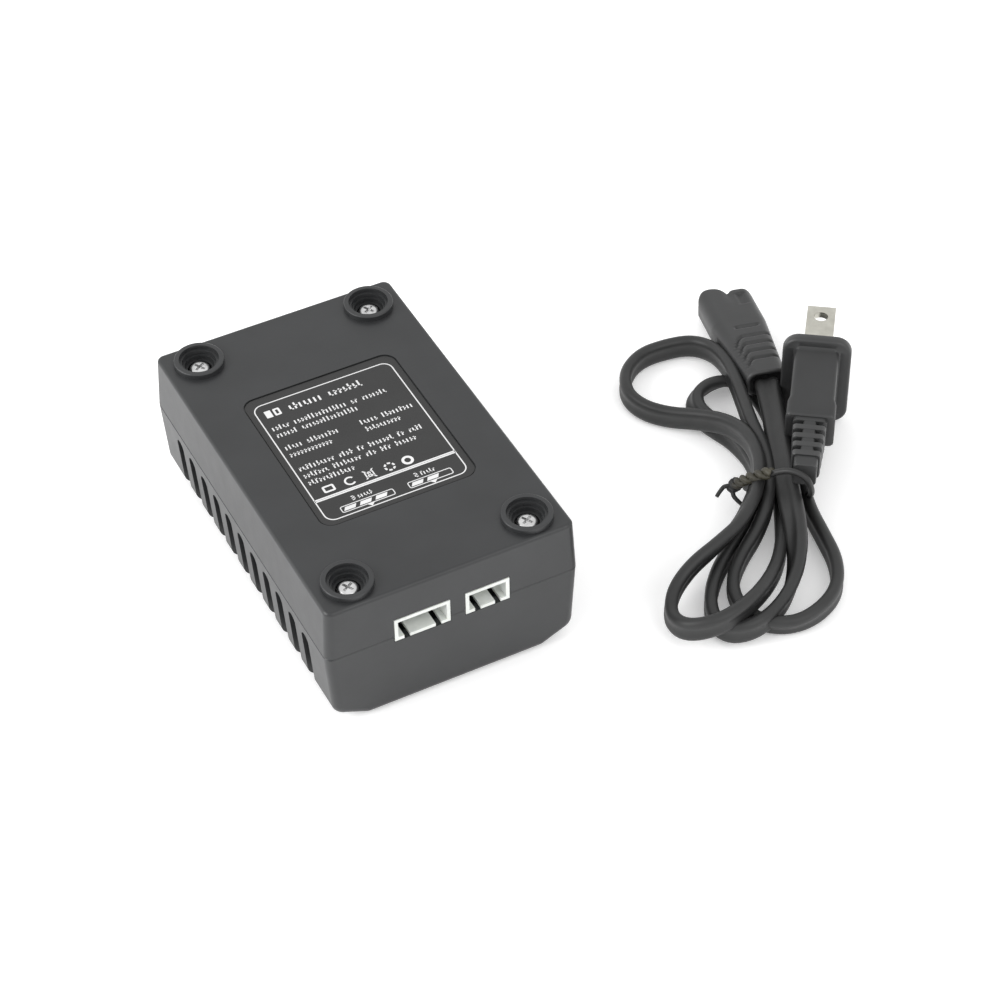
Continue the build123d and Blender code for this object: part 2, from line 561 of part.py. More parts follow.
with BuildPart() as mains_plug:
    with BuildSketch(PLUG):
        RectangleRounded(FLANGE_WIDTH, FLANGE_HEIGHT, 3.6)
    extrude(amount=FLANGE_DEPTH)
    chamfer(mains_plug.faces().sort_by(SortBy.AREA)[-2:].edges(), length=0.4)
    with BuildSketch(PLUG.offset(FLANGE_DEPTH)):
        RectangleRounded(9.8, 18.4, 1.2)
    with BuildSketch(PLUG.offset(grip_end)):
        RectangleRounded(10.2, 8.4, 1.2)
    loft(ruled=True)
    with BuildSketch(PLUG.offset(grip_end)):
        RectangleRounded(7.4, 7.6, 1.0)
    with BuildSketch(PLUG.offset(relief_end)):
        RectangleRounded(6.0, 6.6, 1.0)
    loft(ruled=True)
    with BuildSketch(PLUG.offset(relief_end)):
        RectangleRounded(5.6, 6.0, 1.0)
    extrude(amount=SLEEVE_LENGTH)
    # Slots that let the strain relief bend.
    for step in range(RELIEF_SLOTS):
        for side in (-1, 1):
            with BuildSketch(PLUG.offset(grip_end + FIRST_SLOT + SLOT_PITCH * step)):
                with Locations((side * 2.9, 0)):
                    Rectangle(3.0, 9.0)
            extrude(amount=SLOT_LENGTH, mode=Mode.SUBTRACT)
    with BuildSketch(PLUG.offset(-0.1)):
        with Locations((0, -BLADE_SPACING / 2), (0, BLADE_SPACING / 2)):
            Rectangle(BLADE_WIDTH + 0.04, BLADE_THICKNESS + 0.04)
    extrude(amount=BLADE_ROOT + 0.2, mode=Mode.SUBTRACT)
write(mains_plug, "mains_plug")

with BuildPart() as plug_blades:
    with BuildSketch(PLUG.offset(-BLADE_LENGTH)):
        with Locations((0, -BLADE_SPACING / 2), (0, BLADE_SPACING / 2)):
            Rectangle(BLADE_WIDTH, BLADE_THICKNESS)
    extrude(amount=BLADE_LENGTH + BLADE_ROOT)
    tip_edges = plug_blades.edges().sort_by(Axis((0, 0, 0), PLUG.z_dir))[:8]
    chamfer(tip_edges.filter_by(lambda e: e.length > 3), length=0.4)
    hole_plane = Plane(
        origin=PLUG.from_local_coords((0, 0, -BLADE_HOLE_OUT)), x_dir=PLUG.x_dir, z_dir=PLUG.y_dir
    )
    with BuildSketch(hole_plane.offset(-FLANGE_HEIGHT)):
        Circle(BLADE_HOLE_R)
    extrude(amount=2 * FLANGE_HEIGHT, mode=Mode.SUBTRACT)
write(plug_blades, "plug_blades")

# ---------------------------------------------------------------- mains lead: tied hank of flat cable
# One closed solid of the outer shape of the loops: the upper loops, the waist in the tie and
# the fan of three loops below it.
HANK_HEIGHT = 9.6
CABLE_WIDTH, CABLE_THICKNESS = 5.6, 2.8
with BuildPart() as power_lead_hank:
    with BuildSketch(Plane.XY) as outline:
        with BuildLine():
            Spline(
                (99.5, -3.2),
                (96.0, -12.0),
                (92.4, -21.0),
                (90.9, -28.0),
                (90.2, -36.0),
                (89.9, -47.0),
                (86.4, -57.2),
                (79.0, -64.6),
                (69.0, -67.6),
                (60.0, -66.4),
                (51.0, -60.4),
                (44.6, -54.0),
                (46.4, -45.8),
                (55.5, -39.8),
                (66.0, -35.2),
                (76.0, -29.6),
                (82.2, -24.6),
                (84.2, -16.0),
                (83.6, -6.0),
                (78.0, -1.6),
                (71.6, 4.4),
                (69.4, 12.0),
                (72.2, 19.4),
                (79.0, 25.0),
                (87.0, 25.6),
                (94.2, 22.6),
                (96.2, 15.0),
                (94.8, 6.0),
                (94.0, -0.6),
            )
            Line((94.0, -0.6), (99.5, -3.2))
        make_face()
    extrude(amount=HANK_HEIGHT)
    chamfer(power_lead_hank.faces().filter_by(Axis.Z).edges(), length=0.8)
    # The cable leaves the plug's sleeve and turns down into the bundle.
    sleeve_end = PLUG.offset(relief_end + SLEEVE_LENGTH)
    with BuildSketch(sleeve_end):
        RectangleRounded(CABLE_THICKNESS, CABLE_WIDTH, 1.0)
    extrude(amount=4.0)
    turn = sleeve_end.from_local_coords((0, 0, 2.5))
    with Locations((turn.X, turn.Y, turn.Z + CABLE_WIDTH / 2 - 0.4)):
        Cylinder(CABLE_THICKNESS / 2, turn.Z - HANK_HEIGHT + CABLE_WIDTH, align=CENTRE_MAX)
write(power_lead_hank, "power_lead_hank")

# ---------------------------------------------------------------- twist tie round the waist
TIE_CENTRE = (86.4, -29.4, 5.6)
TIE_PLANE = Plane(origin=TIE_CENTRE, x_dir=(-0.51, 0.86, 0), z_dir=(0.86, 0.51, 0))
with BuildPart() as twist_tie:
    with BuildSketch(TIE_PLANE.offset(-1.1)):
        Ellipse(6.5, 5.5)
        Ellipse(5.5, 4.5, mode=Mode.SUBTRACT)
    extrude(amount=2.2)
    tail = Plane(origin=(83.6, -24.6, 7.4), x_dir=(0, 0, 1), z_dir=(-0.93, -0.37, 0))
    with BuildSketch(tail):
        Circle(1.4)
    with BuildSketch(tail.offset(9.0)):
        Circle(1.1)
    loft()
    with BuildSketch(tail.offset(8.5)):
        Circle(1.9)
    extrude(amount=2.6)
    for heading, reach in (((-0.86, -0.25, -0.44), 5.2), ((-0.15, -0.90, -0.40), 6.4)):
        wire = Plane(origin=tail.from_local_coords((0, 0, 9.8)), z_dir=heading)
        with BuildSketch(wire):
            Circle(0.6)
        extrude(amount=reach)
write(twist_tie, "twist_tie")
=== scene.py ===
import json
import math

import bmesh
import bpy
from mathutils import Matrix, Vector


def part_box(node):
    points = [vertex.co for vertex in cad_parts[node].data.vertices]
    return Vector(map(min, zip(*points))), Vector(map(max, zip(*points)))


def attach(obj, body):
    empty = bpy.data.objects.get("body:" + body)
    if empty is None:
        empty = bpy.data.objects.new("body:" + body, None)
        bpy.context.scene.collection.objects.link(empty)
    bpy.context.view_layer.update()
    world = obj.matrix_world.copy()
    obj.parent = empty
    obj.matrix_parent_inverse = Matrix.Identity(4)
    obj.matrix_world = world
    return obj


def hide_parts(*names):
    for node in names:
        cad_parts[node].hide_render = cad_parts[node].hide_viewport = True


# Looks of the balance battery charger and its tied mains lead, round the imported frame.
# Blender works in metres. Sizes of pieces are written in millimetres and multiplied by MM.
MM = 0.001

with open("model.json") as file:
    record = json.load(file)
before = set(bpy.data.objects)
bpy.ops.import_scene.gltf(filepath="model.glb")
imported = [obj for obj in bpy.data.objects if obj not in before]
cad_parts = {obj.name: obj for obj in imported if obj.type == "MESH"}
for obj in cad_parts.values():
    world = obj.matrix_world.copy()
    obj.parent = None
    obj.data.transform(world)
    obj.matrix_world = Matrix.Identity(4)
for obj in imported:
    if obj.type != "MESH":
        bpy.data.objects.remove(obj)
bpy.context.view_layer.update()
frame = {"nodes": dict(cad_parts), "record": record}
NODES = frame["nodes"]


# ---------------------------------------------------------------- camera
CAMERA_AZIMUTH = math.radians(-26.56)
CAMERA_ELEVATION = math.radians(44.08)
CAMERA_ROLL = math.radians(-1.11)
CAMERA_DISTANCE = 0.63316
CAMERA_TARGET = Vector((0.03222, -0.00071, 0.0))
CAMERA_LENS = 104.2


def make_camera():
    back = Vector(
        (
            math.sin(CAMERA_AZIMUTH) * math.cos(CAMERA_ELEVATION),
            -math.cos(CAMERA_AZIMUTH) * math.cos(CAMERA_ELEVATION),
            math.sin(CAMERA_ELEVATION),
        )
    )
    level = Vector((0, 0, 1)).cross(back).normalized()
    upright = back.cross(level)
    right = level * math.cos(CAMERA_ROLL) + upright * math.sin(CAMERA_ROLL)
    up = -level * math.sin(CAMERA_ROLL) + upright * math.cos(CAMERA_ROLL)
    data = bpy.data.cameras.new("camera")
    data.lens = CAMERA_LENS
    data.sensor_width = 36
    camera = bpy.data.objects.new("camera", data)
    bpy.context.scene.collection.objects.link(camera)
    turn = Matrix((right, up, back)).transposed()
    camera.matrix_world = Matrix.Translation(CAMERA_TARGET + back * CAMERA_DISTANCE) @ turn.to_4x4()
    bpy.context.scene.camera = camera


# ---------------------------------------------------------------- node helpers
# grey of the painted highlight on the convex edges of the lead's plastic
EDGE_HIGHLIGHT_GREY = 0.16
# sockets of the mix node when it mixes colours
MIX_FACTOR = 0
MIX_FIRST = 6
MIX_SECOND = 7
MIX_RESULT = 2


class Nodes:
    """A short way to write a material's node tree."""

    def __init__(self, name):
        self.material = bpy.data.materials.new(name)
        self.material.use_nodes = True
        self.tree = self.material.node_tree
        self.shader = self.tree.nodes["Principled BSDF"]
        self.coordinates = self.tree.nodes.new("ShaderNodeTexCoord").outputs["Object"]

    def add(self, kind, settings=(), **inputs):
        node = self.tree.nodes.new(kind)
        for key, value in dict(settings).items():
            setattr(node, key, value)
        for key, value in inputs.items():
            self.feed(node.inputs[key], value)
        return node

    def feed(self, socket, value):
        if isinstance(value, bpy.types.NodeSocket):
            self.tree.links.new(value, socket)
        else:
            socket.default_value = value

    def noise(self, scale, detail=4.0, roughness=0.55, stretch=(1, 1, 1)):
        mapped = self.add("ShaderNodeMapping", Vector=self.coordinates, Scale=stretch)
        node = self.add("ShaderNodeTexNoise", Scale=scale, Detail=detail, Roughness=roughness)
        self.feed(node.inputs["Vector"], mapped.outputs["Vector"])
        return node.outputs["Fac"]

    def ramp(self, value, stops):
        node = self.add("ShaderNodeValToRGB", Fac=value)
        elements = node.color_ramp.elements
        while len(elements) < len(stops):
            elements.new(0.5)
        for element, (position, colour) in zip(elements, stops):
            element.position = position
            element.color = (*colour, 1)
        return node.outputs["Color"]

    def spread(self, value, low, high, start=0.0, end=1.0):
        node = self.add("ShaderNodeMapRange", Value=value)
        node.inputs["From Min"].default_value = start
        node.inputs["From Max"].default_value = end
        node.inputs["To Min"].default_value = low
        node.inputs["To Max"].default_value = high
        return node.outputs["Result"]

    def bumps(self, layers):
        """Stacks bump layers: (height, strength, distance)."""
        normal = None
        for height, strength, distance in layers:
            node = self.add("ShaderNodeBump", Strength=strength, Distance=distance, Height=height)
            if normal is not None:
                self.feed(node.inputs["Normal"], normal)
            normal = node.outputs["Normal"]
        self.feed(self.shader.inputs["Normal"], normal)

    def surface(self, **values):
        for key, value in values.items():
            self.feed(self.shader.inputs[key.replace("_", " ")], value)


def grey(level, tint=(1.0, 1.0, 1.0)):
    return tuple(level * part for part in tint)


# ---------------------------------------------------------------- materials
def moulded_plastic(name, dark, light, rough=(0.42, 0.58), grain=900, strength=0.25, edge_highlight=0.0):
    """Injection-moulded black plastic: fine spark texture, faint flow marks, and lighter convex edges that
    are a painted highlight.
    """
    n = Nodes(name)
    colour = n.ramp(n.noise(60, 3), [(0.30, dark), (0.72, light)])
    if edge_highlight:
        # painted highlight: convex edges, found by pointiness, are mixed towards a light grey
        edges = n.add("ShaderNodeNewGeometry").outputs["Pointiness"]
        highlight_mask = n.spread(edges, 0.0, edge_highlight, 0.52, 0.62)
        mix = n.add("ShaderNodeMix", {"data_type": "RGBA"})
        n.feed(mix.inputs[MIX_FACTOR], highlight_mask)
        n.feed(mix.inputs[MIX_FIRST], colour)
        mix.inputs[MIX_SECOND].default_value = (*grey(EDGE_HIGHLIGHT_GREY), 1)
        colour = mix.outputs[MIX_RESULT]
    n.surface(Base_Color=colour, Roughness=n.spread(n.noise(220, 5), *rough))
    n.surface(Specular_IOR_Level=0.5)
    n.bumps([(n.noise(grain, 3, 0.7), strength, 0.00006), (n.noise(90, 2), 0.12, 0.0003)])
    return n.material


def flexible_pvc(name, dark, light, rough=(0.40, 0.56)):
    """Soft cable sheath and coated tie wire: fine grain, slight waviness and an uneven sheen."""
    n = Nodes(name)
    colour = n.ramp(n.noise(110, 4), [(0.28, dark), (0.74, light)])
    n.surface(Base_Color=colour, Roughness=n.spread(n.noise(300, 4), *rough))
    n.bumps([(n.noise(1400, 2, 0.6), 0.18, 0.00004), (n.noise(160, 3), 0.2, 0.00015)])
    return n.material


def plated_metal(name, dark, light, rough=(0.22, 0.42), scratch=(1, 1, 1), strength=0.3):
    """Plated metal with fine scratches and a slightly uneven finish."""
    n = Nodes(name)
    colour = n.ramp(n.noise(420, 5), [(0.25, dark), (0.75, light)])
    n.surface(Base_Color=colour, Metallic=1.0, Roughness=n.spread(n.noise(700, 4), *rough))
    n.bumps([(n.noise(900, 4, 0.6, scratch), strength, 0.00005), (n.noise(300, 2), 0.25, 0.0002)])
    return n.material


def printed_film(name, dark, light):
    """Film of the label and the white ink on it: satin, with a faint orange-peel."""
    n = Nodes(name)
    n.surface(Base_Color=n.ramp(n.noise(75, 3), [(0.3, dark), (0.7, light)]))
    n.surface(Roughness=n.spread(n.noise(500, 3), 0.38, 0.52))
    n.bumps([(n.noise(700, 2), 0.10, 0.00005)])
    return n.material


def nylon(name, dark, light):
    """Natural nylon of the sockets, and the lamps' lenses: milky, slightly translucent."""
    n = Nodes(name)
    n.surface(Base_Color=n.ramp(n.noise(240, 4), [(0.3, dark), (0.7, light)]))
    n.surface(Roughness=n.spread(n.noise(500, 3), 0.34, 0.5))
    n.surface(Subsurface_Weight=0.15, Subsurface_Radius=(0.0012, 0.0012, 0.0010), Subsurface_Scale=0.6)
    n.bumps([(n.noise(1200, 2), 0.12, 0.00004)])
    return n.material


def lacquer(name, dark, light, rough=(0.22, 0.4), scale=300):
    """Electronic parts, their cores and the board: a slightly uneven coating."""
    n = Nodes(name)
    n.surface(Base_Color=n.ramp(n.noise(scale, 4), [(0.3, dark), (0.7, light)]))
    n.surface(Roughness=n.spread(n.noise(420, 3), *rough))
    n.bumps([(n.noise(500, 3), 0.15, 0.0001)])
    return n.material


COOL = (0.96, 1, 1.05)
FAINTLY_COOL = (0.98, 1, 1.02)
FAINTLY_CYAN = (0.98, 1, 1)


def make_materials():
    """One material for each slot of the record, and two more for the tie's tail and the label's print."""
    plastic = {
        "shell": moulded_plastic("shell", grey(0.020, COOL), grey(0.026, COOL), rough=(0.34, 0.44)),
        "inlet_black": moulded_plastic("inlet_black", grey(0.022), grey(0.032)),
        "lead_plastic": moulded_plastic(
            "lead_plastic",
            grey(0.018, FAINTLY_COOL),
            grey(0.026, FAINTLY_COOL),
            rough=(0.36, 0.48),
            grain=700,
            strength=0.2,
            edge_highlight=0.35,
        ),
        "cable_pvc": flexible_pvc("cable_pvc", grey(0.013, FAINTLY_CYAN), grey(0.020, FAINTLY_CYAN)),
        "tie_plastic": flexible_pvc("tie_plastic", grey(0.008), grey(0.018)),
        "tie_twist": flexible_pvc("tie_twist", (0.020, 0.018, 0.012), (0.060, 0.054, 0.034)),
        "label": printed_film("label", grey(0.014), grey(0.019)),
        "print_white": printed_film("print_white", grey(0.62), grey(0.74)),
        "socket_white": nylon("socket_white", (0.62, 0.64, 0.61), (0.76, 0.78, 0.75)),
        "led_lens": nylon("led_lens", (0.62, 0.62, 0.60), (0.78, 0.78, 0.76)),
    }
    metal = {
        "screw_zinc": plated_metal("screw_zinc", grey(0.52), grey(0.82), (0.18, 0.42), strength=0.7),
        "tin_plate": plated_metal("tin_plate", grey(0.55), grey(0.75), (0.2, 0.35)),
        "contact_brass": plated_metal("contact_brass", (0.60, 0.45, 0.20), (0.80, 0.62, 0.32)),
        "blade_nickel": plated_metal(
            "blade_nickel", (0.47, 0.46, 0.41), (0.60, 0.59, 0.53), (0.30, 0.46), (1, 1, 8)
        ),
    }
    coated = {
        "board": lacquer("board", (0.008, 0.045, 0.020), (0.014, 0.075, 0.032), (0.25, 0.4), 900),
        "ferrite": lacquer("ferrite", grey(0.035), grey(0.055), (0.45, 0.65), 800),
        "winding": lacquer("winding", (0.55, 0.36, 0.04), (0.72, 0.50, 0.08)),
        "capacitor_sleeve": lacquer("capacitor_sleeve", (0.012, 0.016, 0.04), (0.022, 0.03, 0.06)),
        "capacitor_yellow": lacquer("capacitor_yellow", (0.55, 0.38, 0.04), (0.68, 0.50, 0.08)),
        "capacitor_blue": lacquer("capacitor_blue", (0.02, 0.09, 0.30), (0.04, 0.14, 0.42)),
        "resistor": lacquer("resistor", (0.42, 0.30, 0.17), (0.55, 0.42, 0.27)),
    }
    return {**plastic, **metal, **coated}


def dress_frame(materials):
    """Every CAD node takes the material of its slot in the record."""
    for part in frame["record"]["subparts"]:
        node = NODES[part["node"]]
        node.data.materials.clear()
        node.data.materials.append(materials[part["material_slot"]])


# ---------------------------------------------------------------- mesh helpers
def add_object(name, mesh, material, body, smooth=True):
    """Puts a mesh into the scene on one of the CAD bodies."""
    piece = bpy.data.objects.new(name, mesh)
    bpy.context.scene.collection.objects.link(piece)
    mesh.materials.append(material)
    if smooth:
        mesh.shade_smooth()
    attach(piece, body)
    return piece


def mesh_from(name, points, faces):
    """A mesh whose faces all look outwards."""
    mesh = bpy.data.meshes.new(name)
    mesh.from_pydata([tuple(p) for p in points], [], faces)
    shape = bmesh.new()
    shape.from_mesh(mesh)
    bmesh.ops.recalc_face_normals(shape, faces=shape.faces)
    shape.to_mesh(mesh)
    shape.free()
    return mesh


def skin_rings(rings, closed_ends=True):
    """Points and faces of a skin over rings that all have the same number of points."""
    count = len(rings[0])
    points = [p for ring in rings for p in ring]
    faces = []
    for i in range(len(rings) - 1):
        for j in range(count):
            k = (j + 1) % count
            faces.append((i * count + j, i * count + k, (i + 1) * count + k, (i + 1) * count + j))
    if closed_ends:
        faces.append(tuple(reversed(range(count))))
        faces.append(tuple(range((len(rings) - 1) * count, len(rings) * count)))
    return points, faces


def resample(points, step):
    """Points every step along a polyline."""
    out, carried = [points[0].copy()], 0.0
    for a, b in zip(points, points[1:]):
        span = (b - a).length
        while carried + span >= step and span > 1e-9:
            share = (step - carried) / span
            a = a.lerp(b, share)
            out.append(a.copy())
            span = (b - a).length
            carried = 0.0
        carried += span
    if (out[-1] - points[-1]).length > step * 0.4:
        out.append(points[-1].copy())
    else:
        out[-1] = points[-1].copy()
    return out


def follow_route(route_mm, name):
    """Points of the smooth NURBS line through a given route in millimetres."""
    curve = bpy.data.curves.new(name, "CURVE")
    curve.dimensions = "3D"
    curve.resolution_u = 24
    spline = curve.splines.new("NURBS")
    spline.points.add(len(route_mm) - 1)
    for point, place in zip(spline.points, route_mm):
        point.co = (place[0] * MM, place[1] * MM, place[2] * MM, 1)
    spline.order_u = 3
    spline.use_endpoint_u = True  # set after the points, so that the line reaches both ends
    holder = bpy.data.objects.new(name, curve)
    bpy.context.scene.collection.objects.link(holder)
    bpy.context.view_layer.update()
    mesh = bpy.data.meshes.new_from_object(holder)
    points = [v.co.copy() for v in mesh.vertices]
    bpy.data.objects.remove(holder)
    bpy.data.meshes.remove(mesh)
    return points


def rounded_outline(half_width, half_height, radius, arc=6, side=6):
    """Points round a rounded rectangle. Outlines with the same arc and side can be skinned together."""
    points = []
    corners = [(1, 1, 0), (-1, 1, 90), (-1, -1, 180), (1, -1, 270)]
    for index, (sx, sy, start) in enumerate(corners):
        cx, cy = sx * (half_width - radius), sy * (half_height - radius)
        for i in range(arc + 1):
            angle = math.radians(start + 90 * i / arc)
            points.append((cx + radius * math.cos(angle), cy + radius * math.sin(angle)))
        nx, ny, following = corners[(index + 1) % 4]
        angle = math.radians(following)
        end = (
            nx * (half_width - radius) + radius * math.cos(angle),
            ny * (half_height - radius) + radius * math.sin(angle),
        )
        begin = points[-1]
        for i in range(1, side):
            share = i / side
            across = begin[0] + (end[0] - begin[0]) * share
            upward = begin[1] + (end[1] - begin[1]) * share
            points.append((across, upward))
    return points


def between(value, table):
    """Straight-line interpolation in a short table of (position, value)."""
    for (a, va), (b, vb) in zip(table, table[1:]):
        if value <= b:
            share = 0 if b == a else max(0.0, (value - a) / (b - a))
            return va + (vb - va) * share
    return table[-1][1]


def soft_step(value, low, high):
    """Rises smoothly from 0 at low to 1 at high."""
    share = min(1.0, max(0.0, (value - low) / (high - low)))
    return share * share * (3 - 2 * share)


WOBBLE_PACE = 1.7  # radians from one point of the line to the next


def sweep(line, radius_at, count=12, wobble=0.0):
    """A round tube along a line. radius_at gives its radius in millimetres at 0 to 1 of the line."""
    rings = []
    side = Vector((0, 0, 1)).cross(line[1] - line[0])
    side = side.normalized() if side.length > 1e-9 else Vector((1, 0, 0))
    last = len(line) - 1
    for i, point in enumerate(line):
        ahead = (line[min(last, i + 1)] - line[max(0, i - 1)]).normalized()
        side = (side - ahead * side.dot(ahead)).normalized()
        other = ahead.cross(side)
        radius = radius_at(i / last) * MM * (1 + wobble * math.sin(i * WOBBLE_PACE))
        ring = []
        for k in range(count):
            angle = 2 * math.pi * k / count
            ring.append(point + (side * math.cos(angle) + other * math.sin(angle)) * radius)
        rings.append(ring)
    return skin_rings(rings)


def twisted_strand(line, radius, turns, phase):
    """A line that winds round another one."""
    out = []
    last = len(line) - 1
    side = Vector((0, 0, 1)).cross(line[1] - line[0]).normalized()
    for i, point in enumerate(line):
        ahead = (line[min(last, i + 1)] - line[max(0, i - 1)]).normalized()
        side = (side - ahead * side.dot(ahead)).normalized()
        other = ahead.cross(side)
        angle = 2 * math.pi * (turns * i / last + phase)
        out.append(point + (side * math.cos(angle) + other * math.sin(angle)) * radius * MM)
    return out


def join_shapes(shapes):
    """Several skins as one set of points and faces."""
    points, faces = [], []
    for some_points, some_faces in shapes:
        start = len(points)
        points += some_points
        faces += [tuple(i + start for i in face) for face in some_faces]
    return points, faces


def cut_with(piece, cutters):
    """Cuts other closed meshes out of a piece and applies the result."""
    for cutter in cutters:
        modifier = piece.modifiers.new("cut", "BOOLEAN")
        modifier.object = cutter
        modifier.solver = "EXACT"
    bpy.context.view_layer.update()
    depsgraph = bpy.context.evaluated_depsgraph_get()
    mesh = bpy.data.meshes.new_from_object(piece.evaluated_get(depsgraph))
    piece.modifiers.clear()
    piece.data = mesh
    for cutter in cutters:
        bpy.data.objects.remove(cutter)


def smooth_by_angle(piece, degrees=38):
    """Smooth shading with sharp edges kept where faces meet steeply."""
    shape = bmesh.new()
    shape.from_mesh(piece.data)
    for face in shape.faces:
        face.smooth = True
    for edge in shape.edges:
        edge.smooth = edge.calc_face_angle(0.0) < math.radians(degrees)
    shape.to_mesh(piece.data)
    shape.free()


# ---------------------------------------------------------------- the flat two-core cable
CABLE_WIDTH = 5.6 * MM
CABLE_THICKNESS = 2.8 * MM
CABLE_STEP = 1.0 * MM
CORE_ARC = 126  # degrees of each core's outline on both sides of its outermost point
CORE_STEPS = 10
SEARCH_AHEAD = 26  # points of the line in which the route's next point is looked for
# Each point of the route: x, y, z in millimetres, then how far the cable is turned over there,
# in degrees: 0 standing on edge, 90 lying flat.
ROUTE = [
    # out of the connector, over the tie, into the middle loop
    (98.5, -2.6, 8.0, -84),
    (96.9, -6.5, 8.2, -80),
    (94.2, -13.0, 8.4, -74),
    (90.8, -20.0, 8.8, -70),
    (87.8, -26.6, 9.2, -66),
    (85.0, -32.8, 9.0, -62),
    (82.8, -38.6, 8.2, -56),
    (80.6, -44.4, 7.0, -46),
    (77.4, -50.6, 5.6, -30),
    (72.6, -56.6, 4.6, -14),
    (66.2, -61.4, 4.4, -4),
    (59.6, -63.6, 4.4, 0),
    (54.6, -62.0, 3.6, 0),
    (53.2, -57.2, 2.9, 0),
    (55.4, -51.4, 2.8, 0),
    (60.4, -45.4, 2.8, 0),
    (66.6, -40.6, 2.8, 0),
    (73.2, -36.6, 2.8, 0),
    (79.4, -31.4, 2.8, 0),
    # under the tie into the small upper loop
    (83.6, -25.2, 2.8, 0),
    (85.6, -17.6, 2.8, 0),
    (85.4, -10.4, 2.9, 10),
    (83.6, -4.2, 2.9, 25),
    (82.6, 1.0, 2.9, 30),
    (84.6, 5.6, 2.9, 25),
    (89.4, 7.8, 2.8, 30),
    (94.6, 7.2, 2.8, 50),
    (97.2, 3.4, 2.8, 55),
    (97.3, -2.6, 2.8, 45),
    (95.6, -9.6, 2.8, 25),
    (92.8, -17.0, 2.8, 10),
    (89.0, -24.6, 2.8, 0),
    (84.8, -31.2, 2.8, 0),
    # the left loop, which rises over the other two
    (81.4, -37.6, 2.9, 0),
    (77.4, -44.2, 3.4, 0),
    (72.4, -50.6, 4.6, 0),
    (66.2, -56.0, 6.2, 0),
    (59.2, -60.2, 7.8, 0),
    (52.0, -61.8, 7.6, 0),
    (46.0, -58.8, 5.6, 0),
    (44.9, -53.2, 4.2, 0),
    (48.4, -47.6, 5.0, 5),
    (54.6, -44.4, 7.2, 12),
    (61.8, -42.6, 8.6, 20),
    (69.2, -39.6, 8.8, 26),
    (75.8, -34.4, 9.0, 26),
    (81.0, -28.4, 9.0, 10),
    # back over the tie into the big upper loop
    (84.2, -22.4, 8.8, 0),
    (85.4, -15.4, 8.0, 0),
    (84.4, -8.6, 6.4, 0),
    (81.2, -2.8, 4.4, 0),
    (76.6, 2.0, 3.0, 0),
    (72.6, 7.0, 2.8, 0),
    (71.4, 13.0, 2.8, 0),
    (74.4, 19.2, 2.8, 0),
    (80.4, 23.0, 2.8, 0),
    (87.0, 23.0, 2.8, 0),
    (93.0, 21.4, 3.0, 0),
    (95.8, 16.4, 3.8, 0),
    (95.2, 9.6, 5.6, 0),
    (93.3, 2.0, 6.6, 0),
    (90.8, -5.6, 7.0, 0),
    (88.3, -13.4, 7.4, 0),
    (86.8, -20.6, 7.6, 0),
    (84.0, -28.0, 7.6, 0),
    # the right loop, lowest
    (79.4, -35.2, 6.8, 0),
    (73.4, -40.4, 5.0, 0),
    (67.0, -44.2, 3.4, 0),
    (62.0, -49.2, 2.8, 0),
    (60.0, -55.6, 2.9, 10),
    (61.8, -61.8, 2.9, 18),
    (67.4, -65.4, 2.8, 18),
    (74.4, -64.8, 2.9, 6),
    (81.0, -61.0, 2.8, 0),
    (85.0, -54.2, 2.8, 0),
    (86.6, -46.4, 2.8, 0),
    (88.0, -38.8, 2.8, 0),
    (90.2, -32.0, 3.2, 0),
    # up beside the bundle and into the plug's sleeve
    (91.6, -28.2, 5.4, 0),
    (90.6, -29.8, 9.6, 0),
    (89.6, -31.6, 12.0, 0),
    (87.6, -35.8, 13.1, 0),
]


def cable_section():
    """Outline of the twin cable: two round cores with a shallow groove between them."""
    half = CABLE_WIDTH / 2
    core = CABLE_THICKNESS / 2
    outline = []
    for side in (1, -1):
        for i in range(CORE_STEPS + 1):
            angle = math.radians(-CORE_ARC + 2 * CORE_ARC * i / CORE_STEPS)
            across = side * (half - core) + side * core * math.cos(angle)
            through = side * core * math.sin(angle)
            outline.append((across, through))
    return outline


def face_turns(line):
    """How far the cable is turned over at each point of the line, between the route's own points."""
    marks = []
    nearest = 0
    for place in ROUTE:
        spot = Vector(place[:3]) * MM
        window = range(nearest, min(len(line), nearest + SEARCH_AHEAD))
        nearest = min(window, key=lambda i: (line[i] - spot).length)
        marks.append((nearest, place[3]))
    turns = []
    for i in range(len(line)):
        before = max((m for m in marks if m[0] <= i), key=lambda m: m[0], default=marks[0])
        after = min((m for m in marks if m[0] >= i), key=lambda m: m[0], default=marks[-1])
        span = max(1, after[0] - before[0])
        share = (i - before[0]) / span if after[0] > before[0] else 0.0
        turns.append(before[1] + (after[1] - before[1]) * share)
    return turns


def make_cable(materials):
    """The whole cable in one skin. Returns the piece, its line and the centre of each ring."""
    line = resample(follow_route([p[:3] for p in ROUTE], "route_line"), CABLE_STEP)
    turns = face_turns(line)
    section = cable_section()
    rings = []
    last = len(line) - 1
    for i, point in enumerate(line):
        ahead = (line[min(last, i + 1)] - line[max(0, i - 1)]).normalized()
        side = ahead.cross(Vector((0, 0, 1))).normalized()
        upright = side.cross(ahead).normalized()
        turn = math.radians(turns[i])
        wide = upright * math.cos(turn) + side * math.sin(turn)
        thin = ahead.cross(wide).normalized()
        rings.append([point + wide * a + thin * t for a, t in section])
    mesh = mesh_from("power_cable", *skin_rings(rings))
    cable = add_object("power_cable", mesh, materials["cable_pvc"], "power_lead")
    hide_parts("power_lead_hank")
    centres = [sum(ring, Vector()) / len(ring) for ring in rings]
    return cable, line, centres


